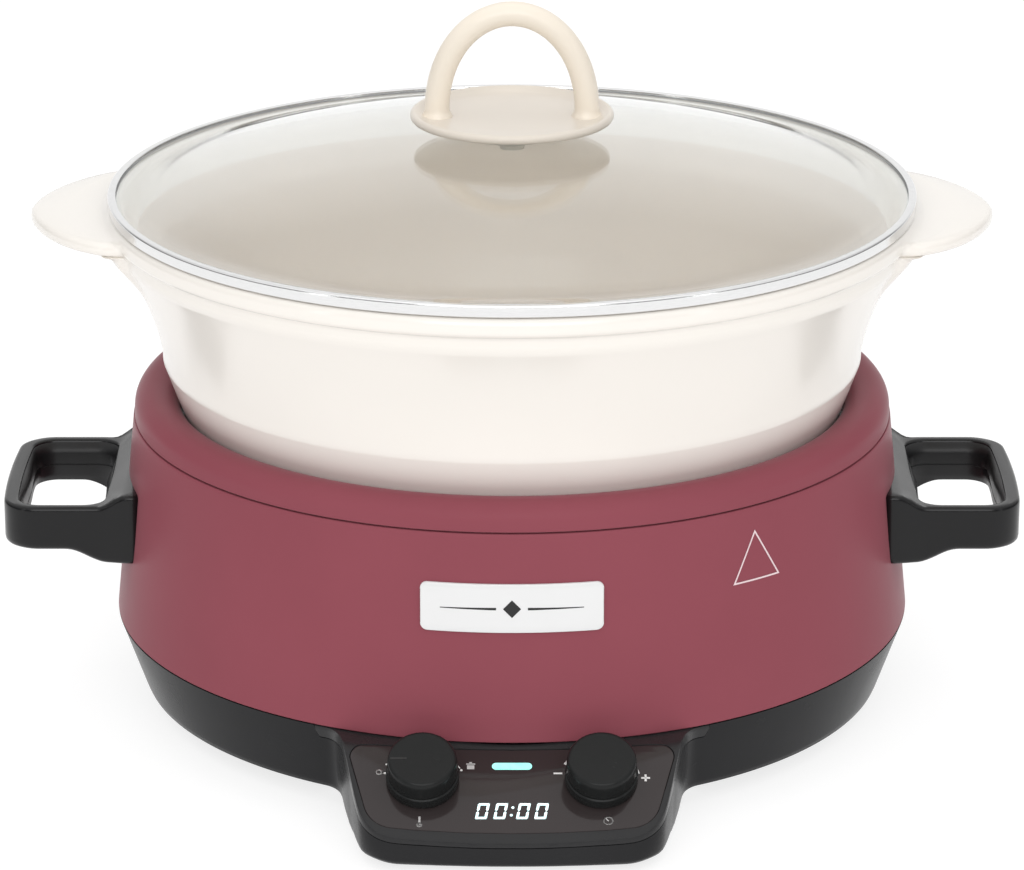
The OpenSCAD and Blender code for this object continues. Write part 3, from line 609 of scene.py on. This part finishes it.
def zero(x):
    """Seven-segment nought, leaning right: six mitred bars with fine gaps."""
    w, h, b, gap, mitre = 2.05, 3.4, 0.9, 0.07, 0.1
    bars = []
    for s in (1, -1):
        bars.append([(-w + gap + mitre, s * h), (w - gap - mitre, s * h),
                     (w - b + mitre, s * (h - b)), (-w + b - mitre, s * (h - b))])
        for side in (1, -1):
            bars.append([(side * w, s * (h - gap - mitre)), (side * (w - b), s * (h - b - gap)),
                         (side * (w - b), s * 0.62), (side * (w - b / 2), s * 0.12), (side * w, s * 0.5)])
    return [[(x + u + v * 0.17, v) for u, v in bar] for bar in bars]


def lit_parts():
    """Lit bar, and the display's noughts and colon."""
    bar = arc(5.6, 0, 1.5, -90, 90, 12) + arc(-5.6, 0, 1.5, 90, 270, 12)
    flat_piece("light_bar", [bar], 0.09, LED, "base", ["status_lens"], panel_matrix(0, 7.5), 30)
    figures = [bar for x in (-10.35, -3.95, 4.0, 10.4) for bar in zero(x)]
    colon = [disc_shape(0.3, 1.55, 0.5), disc_shape(-0.25, -1.75, 0.5)]
    flat_piece("lit_figures", figures + colon, 0.07, DIGITS, "base", ["display_digits"],
               panel_matrix(0, 27.1, 0.01), 30)


def knobs():
    """Flat caps with a rolled edge, a plain side and a slightly wider skirt; on the mode knob a black strip,
    painted shade of its pointer groove.
    """
    cap = [(0, 12.7), (6, 12.72), (10.2, 12.78)] + arc(10.6, 11.2, 1.6, 90, 20, 7)
    side = [(12.25, 11.2), (12.32, 10.4), (12.4, 7.0), (12.45, 5.2), (12.3, 4.92), (12.3, 4.7)]
    skirt = [(12.6, 4.55), (12.85, 4.3), (12.9, 3.7), (12.9, 0.8), (12.7, 0.45), (11.9, 0.4)]
    hollow = [(10.6, 0.9), (10.6, 4), (5.4, 4), (5.4, 10.4), (0, 10.4)]
    for body, x in (("mode_knob", -KNOB_X), ("timer_knob", KNOB_X)):
        lathe(body + "_cap", cap + side + skirt + hollow, KNOB, body, [body], turns=96,
              sharp=35, matrix=panel_matrix(x, KNOB_DOWN))
    # black strip along the mode knob's pointer groove: painted shade, the groove itself is not cut
    groove_shade = [(-11.2, -0.38), (-5.4, -0.3), (-5.4, 0.3), (-11.2, 0.38)]
    flat_piece("mode_knob_groove_shade", [groove_shade], 0.03, INK_AND_GROOVE_SHADE, "mode_knob", [],
               panel_matrix(-KNOB_X, KNOB_DOWN, KNOB_TOP))


# ---------------------------------------------------------------- side handles

def grip_edge(t, x0, x1, half, corner, bow, is_window):
    """Where a ray at angle t from the window's middle leaves the grip's outline or its window."""
    dx, dy = math.cos(t), math.sin(t)
    flare = 0 if is_window else 1.8

    def is_inside(x, y):
        end = x1 - bow * (y / half) ** 2
        if not (x0 < x < end and abs(y) < half + flare * step(-x, -156, -142)):
            return False
        rounded = [x - (end - corner)] + ([x0 + corner - x] if is_window else [])
        qy = abs(y) - (half - corner)
        return not any(qx > 0 and qy > 0 and math.hypot(qx, qy) > corner for qx in rounded)

    lo, hi = 0.0, 80.0
    for _ in range(28):
        mid = (lo + hi) / 2
        if is_inside(GRIP_MID_X + mid * dx, mid * dy):
            lo = mid
        else:
            hi = mid
    return GRIP_MID_X + lo * dx, lo * dy


def grip_top(x):
    """Top of the grip, rising where its saddle meets the wall."""
    return GRIP_TOP + 5.0 * step(-x, -154.5, -143.5)


def grip_low(x):
    """Underside of the grip, dropping towards the wall."""
    return GRIP_LOW - 5.3 * step(-x, -168, -151.5) ** 1.2


def handle(side, name):
    """One side handle as a swept section, with a liner inside its window; side is -1 for the left one."""
    n = 168
    grip, liner = [], []
    for i in range(n):
        t = 2 * math.pi * i / n
        ox, oy = grip_edge(t, 139.5, 192.0, 41.4, 12.0, 2.0, False)
        ix, iy = grip_edge(t, 152.6, 186.3, 37.0, 8.5, 1.2, True)
        length = math.hypot(ox - ix, oy - iy)
        ux, uy = (ox - ix) / length, (oy - iy) / length

        def window(out, z):
            return (side * (ix + ux * out), iy + uy * out, z)

        def outer(inset, z):
            return (side * (ox - ux * inset), oy - uy * inset, z)

        top_i, top_o, low_i, low_o = grip_top(ix), grip_top(ox), grip_low(ix), grip_low(ox)
        cut = min(1.0, length / 6)
        side_top, side_low = top_o - 1.8, low_o + 2.8
        # up the window's edge, over the top, down the outer side and back underneath
        grip += [window(0, 82.9), window(0.15, 84.1), window(0.7, top_i - 0.12), window(1.5, top_i)]
        grip += [window(length * k, grip_top(ix + ux * length * k)) for k in (0.5, 0.75)]
        grip += [outer(1.5 * cut, top_o), outer(0.6, top_o - 0.25), outer(0.12, top_o - 0.8)]
        grip += [outer(0, side_top + (side_low - side_top) * k) for k in (0, 0.33, 0.66, 1)]
        grip += [outer(0.35, low_o + 1.3), outer(1.2, low_o + 0.4), outer(2.4 * cut, low_o)]
        grip += [window(1.2, low_i), window(0.3, low_i + 0.5), window(0.02, low_i + 1.6)]
        # the liner lines the window from top to bottom, with a fine groove half way down
        section = [(0.4, 83.9), (-0.1, 83.7), (-1.5, 81.6), (-2.0, 80.8), (-2.15, 79.6), (-2.15, 75.7),
                   (-1.85, 75.45), (-1.85, 75.25), (-2.15, 75.0), (-2.1, 71.6), (-1.6, 70.2),
                   (-0.5, low_i + 0.6), (0.4, low_i + 0.5)]
        liner += [window(out, z) for out, z in section]
    piece(name + "_grip", grip, grid_faces(n, len(grip) // n, True, True), GRIP, "base", [name],
          sharp=50)
    piece(name + "_liner_skin", liner, grid_faces(n, len(liner) // n, True, True), LINER, "base",
          [name + "_liner"], sharp=45)


# ---------------------------------------------------------------- trim on the wall

def on_wall(x, z, lift):
    """Point on the wall in front view coordinates: x across, z up, lift proud of the paint."""
    r = wall_r(z) + lift
    return (x, -math.sqrt(r * r - x * x), z)


def name_plate():
    """White plate bent round the wall, with rounded corners and a softened edge."""
    half_x, half_z, corner, n = 32.5, 8.75, 2.6, 56
    verts = []
    for i in range(n + 1):
        x = -half_x * math.cos(math.pi * i / n)
        over = max(0.0, abs(x) - (half_x - corner))
        h = half_z - corner + math.sqrt(max(0.0, corner ** 2 - over ** 2))
        face_lift = PLATE_LIFT - (0.3 if half_x - abs(x) < 0.1 else 0)
        edge = [(x, h, 0.05), (x, h, PLATE_LIFT - 0.3), (x * 0.9985, h - 0.12, PLATE_LIFT - 0.08)]
        flat = [(x * 0.997, (h - 0.35) * (k / 4 - 1), face_lift) for k in range(9)]
        column = [(u, -v, lift) for u, v, lift in edge] + flat + edge[::-1]
        verts += [on_wall(u, PLATE_Z + v, lift) for u, v, lift in column]
    piece("plate_skin", verts, grid_faces(n + 1, len(verts) // (n + 1)), WHITE, "base", ["name_plate"],
          sharp=50)


def wall_strips(strips, lift, turn=0.0, n=8):
    """Strips that follow the wall, turned round its axis; each strip is two edges given by their ends."""
    c, s = math.cos(turn), math.sin(turn)
    verts, faces = [], []
    for edge_a, edge_b in strips:
        first = len(verts)
        for (ax, az), (bx, bz) in zip(line(*edge_a, n), line(*edge_b, n)):
            for x, y, z in (on_wall(ax, az, lift), on_wall(bx, bz, lift)):
                verts.append((x * c - y * s, x * s + y * c, z))
        faces += [(first + 2 * k, first + 2 * k + 2, first + 2 * k + 3, first + 2 * k + 1) for k in range(n)]
    return verts, faces


def plate_motif():
    """Generic ornament: a small diamond between two tapering rules."""
    strips = [[((s * 5.6, PLATE_Z + v), (s * 25.4, PLATE_Z + v / 3)) for v in (0.45, -0.45)] for s in (-1, 1)]
    verts, faces = wall_strips(strips, 1.06)
    faces.append(tuple(len(verts) + i for i in range(4)))
    verts += [on_wall(x, PLATE_Z + v, 1.08) for x, v in ((3.2, 0), (0, 3.2), (-3.2, 0), (0, -3.2))]
    piece("motif_skin", verts, faces, INK_AND_GROOVE_SHADE, "base", ["plate_motif"])


def side_mark():
    """Empty triangle outline."""
    half, high, w = 10.7, 18.5, 0.62
    low = MARK_Z - high / 2
    outer = [(0.0, low + high), (-half, low), (half, low)]
    inner = [(0.0, low + high - 2 * w), (-half + 1.73 * w, low + w), (half - 1.73 * w, low + w)]
    strips = [((outer[i], outer[i - 2]), (inner[i], inner[i - 2])) for i in range(3)]
    verts, faces = wall_strips(strips, 0.12, MARK_TURN)
    piece("triangle_print", verts, faces, PALE_PRINT, "base", ["side_mark"], sharp=60)


# ---------------------------------------------------------------- pot

def pot_out(z):
    """Outer radius of the pot's wall: two cones, then a flare up to the rim."""
    if z < 109:
        return 113.0 + (z - 73) * (122.4 - 113.0) / 36
    if z < 134:
        return 122.4 + (z - 109) * (131.6 - 122.4) / 25
    return 131.6 + 17.4 * ((z - 134) / 47) ** 1.65


ear_outline = arc(159.5, 84, 34.2, -152, -112, 14)
ear_outline += [(136 + 44 * cos_deg(a), 54 * sin_deg(a) ** 1.2) for a in np.linspace(73, 0.5, 60)]
ear_table = polar(ear_outline + [(x, -y) for x, y in ear_outline])


def rim_r(angle):
    """Radius of the pot's outer edge, ears included, at an angle from the ear."""
    a = (angle + 180) % 360 - 180
    a = a if abs(a) <= 90 else (180 - abs(a)) * (1 if a > 0 else -1)
    if abs(a) > EAR_ANGLE:
        return POT_RIM_R
    return max(POT_RIM_R, float(np.interp(a, *ear_table)))


def ear_weight(angle):
    """0 at the plain lip, 1 where the rim is an ear."""
    return step(rim_r(angle), POT_RIM_R, POT_RIM_R + 6)


def rim_section(angle):
    """Section of the pot's rim: a rounded lip that blends into a flat ear."""
    reach = rim_r(angle)
    slope = abs(rim_r(angle + 0.5) - rim_r(angle - 0.5)) / (reach * math.radians(1.0))
    k = min(2.0, math.sqrt(1 + slope * slope))
    span = max(0.0, reach - 2.2 * k - 154.2)
    lip = [(149.2, 193.3), (150.3, 193.15), (151.2, 192.6), (151.75, 191.7), (152, 190.7), (152, 190),
           (152, 189.4), (152, 188.7), (151.95, 188.0), (151.7, 187.3), (151.2, 186.6), (150.5, 186.2),
           (149.8, 185.9), (149.35, 185.2), (149.2, 184.0), (149.1, 182.4)]
    ear = [(149.2, 193.3), (150.3, 193.05), (151.3, 192.3), (152.4, 191.2), (154.2, 190.65),
           (154.2 + span * 0.5, 190.5), (154.2 + span, 190.4), (reach - 0.9 * k, 189.9),
           (reach - 0.15 * k, 188.9), (reach, 187.6), (reach - 0.15 * k, 186.5), (reach - 0.8 * k, 185.7),
           (reach - 2.0 * k, 185.35), (157.5, 185.1), (154.6, 184.2), (152.8, 182.4)]
    w = ear_weight(angle)
    return [(p[0] + (q[0] - p[0]) * w, p[1] + (q[1] - p[1]) * w) for p, q in zip(lip, ear)]


def pot():
    """Pot in two skins, so that its outside and its duller inside have their own surface; the inside's darker
    cream is painted shade of the pot's hollow.
    """
    inside_wall = [(0, 69.0), (60, 69.0)] + arc(99.5, 80, 11, -90, -12, 8)
    inside_wall += [(pot_out(z) - 4.6, z) for z in (96, 109, 121, 131)]
    inside_wall += line((127.2, 135.5), (134.2, 169.5), 6) + [(134.8, 171.6), (135.9, 173.6)]
    inside_wall += line((136.8, 175.1), (140.5, 181.5), 4)
    seat = [(140.5, 181.5), (141, 182.4), (141.5, 183.2)] + line((142.1, 184.4), (145.3, 191.2), 4)
    seat += [(146.2, 192.5), (147.4, 193.15)]
    outside_wall = [(148.9, 180.6)] + [(pot_out(z), z) for z in np.linspace(178, 136.5, 13)]
    outside_wall += [(131.75, 134.6), (131.3, 133.4), (130.8, 132)]
    outside_wall += [(pot_out(z), z) for z in (126, 118, 109, 96, 84, 76)]
    outside_wall += arc(104, 73, 9, 0, -90, 7) + [(60, 64), (0, 64)]
    angles = [ear + d for ear in (0, 180) for d in (*np.arange(-34, 34, 0.5), *np.arange(34, 146, 1.4))]
    outside, within = [], []
    for angle in angles:
        c, s = cos_deg(angle), sin_deg(angle)
        w = ear_weight(angle)
        fillet = [(r + w * 3.2 * step(z, 160, 182) ** 2, z) for r, z in outside_wall]
        outside += [(r * c, r * s, z) for r, z in seat + rim_section(angle) + fillet]
        within += [(r * c, r * s, z) for r, z in inside_wall]
    n = len(angles)
    piece("pot_skin", outside, grid_faces(n, len(outside) // n, True), CREAM, "pot", ["pot"],
          sharp=75)
    piece("pot_inside_skin", within, grid_faces(n, len(within) // n, True), SHADED_INSIDE, "pot", [],
          sharp=75)


# ---------------------------------------------------------------- lid

dome_r = (DOME_EDGE_R ** 2 + (DOME_TOP - DOME_EDGE) ** 2) / (2 * (DOME_TOP - DOME_EDGE))


def dome_z(r):
    """Height of the glass's outer face, part of a sphere."""
    return DOME_TOP - dome_r + math.sqrt(dome_r ** 2 - r * r)


def lid_glass():
    """Domed glass with a flat flange and a hole for the screw."""
    upper = [(r, dome_z(r)) for r in np.linspace(4.2, 134, 40)]
    bend = [(136.3, 198.35), (138, 197.95), (139.6, 197.7), (141.5, 197.55), (144, 197.5)]
    flange = [(149.4, 197.5), (149.5, 194.1), (142, 194.1), (139, 194.3), (137, 194.75)]
    lower = [(r, dome_z(r) - GLASS_THICK) for r in np.linspace(135, 4.2, 40)]
    lathe("glass_skin", upper + bend + flange + lower, GLASS, "lid", ["lid_glass"], sharp=50)


def lid_band():
    """Steel band folded round the glass's edge."""
    band = [(147.9, 197.55), (147.85, 197.8), (148.05, 198.0), (148.6, 198.0)]
    band += arc(150.1, 197.2, 0.8, 90, 5, 6) + [(150.9, 196.4), (150.9, 194.6)]
    band += arc(150.3, 194.2, 0.6, 0, -80, 4)
    band += [(147.5, 193.6), (147.5, 194.0), (149.55, 194.0), (149.55, 197.5)]
    lathe("rim_band", band, STEEL, "lid", ["lid_rim"], sharp=60)


def knob_dish():
    """Dish under the arch: flat inside, with a round raised edge."""
    under = [(0, 219.3), (13, 219.25), (16, 219.6), (19, 220.5), (28, 222.4), (34.5, 223.9)]
    top = [(36.75, 227.25), (36.3, 227.3), (35.8, 227.15), (34.6, 226.5), (33.2, 225.8), (31.8, 225.35)]
    top += [(29.5, 225.1), (20, 225.0), (0, 225.0)]
    lathe("plate_dish", under + arc(36.2, 225.6, 1.75, -62, 62, 8) + top, DISH, "lid", ["knob_plate"],
          turns=160, sharp=70, closed=False)


def arch():
    """Round tube bent into an arch, thicker where its feet meet the dish."""
    n, feet = 40, (224.6, 225.2, 226.0)
    bow = [(ARCH_HALF * math.cos(t), 0.0, ARCH_SPRING + ARCH_RISE * math.sin(t) ** 0.96)
           for t in (math.pi * i / 64 for i in range(65))]
    path = [(ARCH_HALF, 0, z) for z in feet] + bow + [(-ARCH_HALF, 0, z) for z in reversed(feet)]
    across = Vector((0, 1, 0))
    verts = []
    for i, p in enumerate(path):
        along = Vector(path[min(len(path) - 1, i + 1)]) - Vector(path[max(0, i - 1)])
        third = along.normalized().cross(across)
        r = 4.63 + 1.3 * (1 - step(p[2] - ARCH_FOOT, -0.4, 2.6))
        verts += [tuple(Vector(p) + across * (r * cos_deg(360 * j / n)) + third * (r * sin_deg(360 * j / n)))
                  for j in range(n)]
    piece("arch_tube", verts, grid_faces(len(path), n, False, True), IVORY, "lid", ["arch_handle"],
          sharp=70)


# ---------------------------------------------------------------- the object

wall()
ring()
shell()
bezel()
panel()
panel_prints()
lit_parts()
knobs()
handle(-1, "handle_left")
handle(1, "handle_right")
name_plate()
plate_motif()
side_mark()
pot()
lid_glass()
lid_band()
knob_dish()
arch()


# ---------------------------------------------------------------- camera, floor and light

CAMERA_BACK, CAMERA_UP, CAMERA_DOWN = 1.654, 0.668, 18.97
FLOOR_HALF = 12

camera_data = bpy.data.cameras.new("camera")
camera_data.lens = 161.4
camera_data.sensor_width = 36
camera_data.clip_end = 50
camera = bpy.data.objects.new("camera", camera_data)
camera.location = (0, AXIS_Y - CAMERA_BACK, CAMERA_UP)
camera.rotation_euler = (math.radians(90 - CAMERA_DOWN), 0, 0)
scene.collection.objects.link(camera)
scene.camera = camera

floor_mesh = bpy.data.meshes.new("floor")
corners = [(x * FLOOR_HALF, y * FLOOR_HALF, 0) for x, y in ((-1, -1), (1, -1), (1, 1), (-1, 1))]
floor_mesh.from_pydata(corners, [], [(0, 1, 2, 3)])
floor = bpy.data.objects.new("floor", floor_mesh)
scene.collection.objects.link(floor)
floor_mesh.materials.append(material(
    "pale_floor", srgb(150, 150, 150), 0.8, vary=0.01, scale=900,
    Emission_Color=(1, 1, 1, 1), Emission_Strength=0.78, Specular_IOR_Level=0.0))

# a white room that is brightest overhead and behind the object
world = bpy.data.worlds.new("studio")
scene.world = world
world.use_nodes = True
sky = world.node_tree
towards = sky.nodes.new("ShaderNodeSeparateXYZ")
sky.links.new(sky.nodes.new("ShaderNodeTexCoord").outputs["Generated"], towards.inputs[0])


def ramp_of(axis, low, high, dim, bright):
    node = sky.nodes.new("ShaderNodeMapRange")
    node.interpolation_type = "SMOOTHSTEP"
    for key, value in (("From Min", low), ("From Max", high), ("To Min", dim), ("To Max", bright)):
        node.inputs[key].default_value = value
    sky.links.new(towards.outputs[axis], node.inputs["Value"])
    return node.outputs["Result"]


brighter = sky.nodes.new("ShaderNodeMath")
brighter.operation = "MAXIMUM"
sky.links.new(ramp_of("Z", 0.0, 0.85, 0.08, 1.04), brighter.inputs[0])
sky.links.new(ramp_of("Y", 0.5, 0.95, 0.0, 1.0), brighter.inputs[1])
sky.links.new(brighter.outputs[0], sky.nodes["Background"].inputs["Strength"])
sky.nodes["Background"].inputs["Color"].default_value = (1, 1, 1, 1)


def softbox(name, where, target, size, power):
    data = bpy.data.lights.new(name, "AREA")
    data.shape = "RECTANGLE"
    data.size, data.size_y = size
    data.energy = power
    o = bpy.data.objects.new(name, data)
    o.location = where
    o.rotation_euler = (Vector(target) - Vector(where)).to_track_quat("-Z", "Y").to_euler()
    scene.collection.objects.link(o)


softbox("front_box", (0, -3.2, 1.7), (0, 0, 0.1), (3.0, 2.0), 50)
softbox("left_strip", (-1.7, -1.3, 0.6), (0, 0, 0.12), (0.16, 1.2), 1.6)
softbox("right_strip", (1.7, -1.3, 0.6), (0, 0, 0.12), (0.16, 1.2), 1.6)
softbox("top_box", (0, 0.2, 2.6), (0, 0, 0), (2.4, 2.4), 6)

scene.view_settings.view_transform = "Standard"
scene.view_settings.look = "None"
